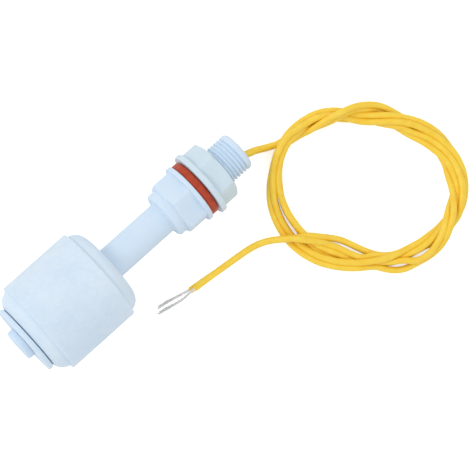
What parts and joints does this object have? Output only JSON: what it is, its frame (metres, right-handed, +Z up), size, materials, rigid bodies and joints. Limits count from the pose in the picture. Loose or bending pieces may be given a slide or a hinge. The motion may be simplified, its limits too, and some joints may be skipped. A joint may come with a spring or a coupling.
{
  "type": "float level switch",
  "caption": "Float level switch: a round float slides on a thin stem with a reed inside; hexagonal body, threaded spigot with nut and gasket, and coiled wire leads.",
  "frame": {"origin": "centre of the switch's box on the surface that it lies on, without the leads", "axes": "+X from the float towards the threaded spigot, level; the switch's own axis dips 6.6 degrees below it; +Z up"},
  "size_m": [0.1095, 0.0626, 0.0265],
  "materials": {
    "body_plastic": "smooth moulded polypropylene, pale blue-white",
    "float_plastic": "finely frosted polypropylene, pale blue-white",
    "nut_plastic": "smooth moulded polypropylene, pale grey-white",
    "gasket_silicone": "satin red-orange silicone",
    "lead_insulation": "smooth yellow wire insulation",
    "tinned_copper": "dull tinned copper strand",
    "solder": "bright solder",
    "blade_metal": "plated nickel-iron",
    "capsule_glass": "clear greenish glass",
    "shrink_sleeve": "black shrink tube",
    "magnet_ferrite": "sintered ferrite",
    "potting_resin": "cast epoxy"
  },
  "bodies": {
    "switch_body": {"stem_body": "body_plastic", "retaining_clip": "body_plastic", "reed_glass": "capsule_glass", "reed_blade_lower": "blade_metal", "reed_blade_upper": "blade_metal", "reed_sleeve": "shrink_sleeve", "return_wire": "tinned_copper", "return_sleeve": "shrink_sleeve", "solder_lower": "solder", "solder_return": "solder", "solder_blade": "solder", "potting_plug": "potting_resin", "lead_a_inner": "lead_insulation", "lead_b_inner": "lead_insulation", "lead_a_exit": "lead_insulation", "lead_b_exit": "lead_insulation", "lead_coil": "lead_insulation", "lead_a_tail": "lead_insulation", "lead_b_tail": "lead_insulation", "conductor_a": "tinned_copper", "conductor_b": "tinned_copper"},
    "float": {"float_shell": "float_plastic", "float_cap": "float_plastic", "float_magnet": "magnet_ferrite"},
    "seal": {"gasket": "gasket_silicone"},
    "nut": {"hex_nut": "nut_plastic"}
  },
  "joints": [
    {"name": "float_slide", "type": "slide", "parent": "switch_body", "child": "float", "axis": [0.9935, 0, -0.1134], "range_m": [0, 0.017]},
    {"name": "gasket_slide", "type": "slide", "parent": "switch_body", "child": "seal", "axis": [0.9935, 0, -0.1134], "range_m": [0, 0.005]},
    {"name": "nut_turn", "type": "hinge", "parent": "seal", "child": "nut", "pos_m": [0.02453, 0, 0.00831], "axis": [0.9935, 0, -0.1134], "range_deg": [0, 1800]}
  ],
  "couplings": [
    {"joint": "nut_turn", "follows": "gasket_slide", "rad_per_m": 6283.2}
  ]
}
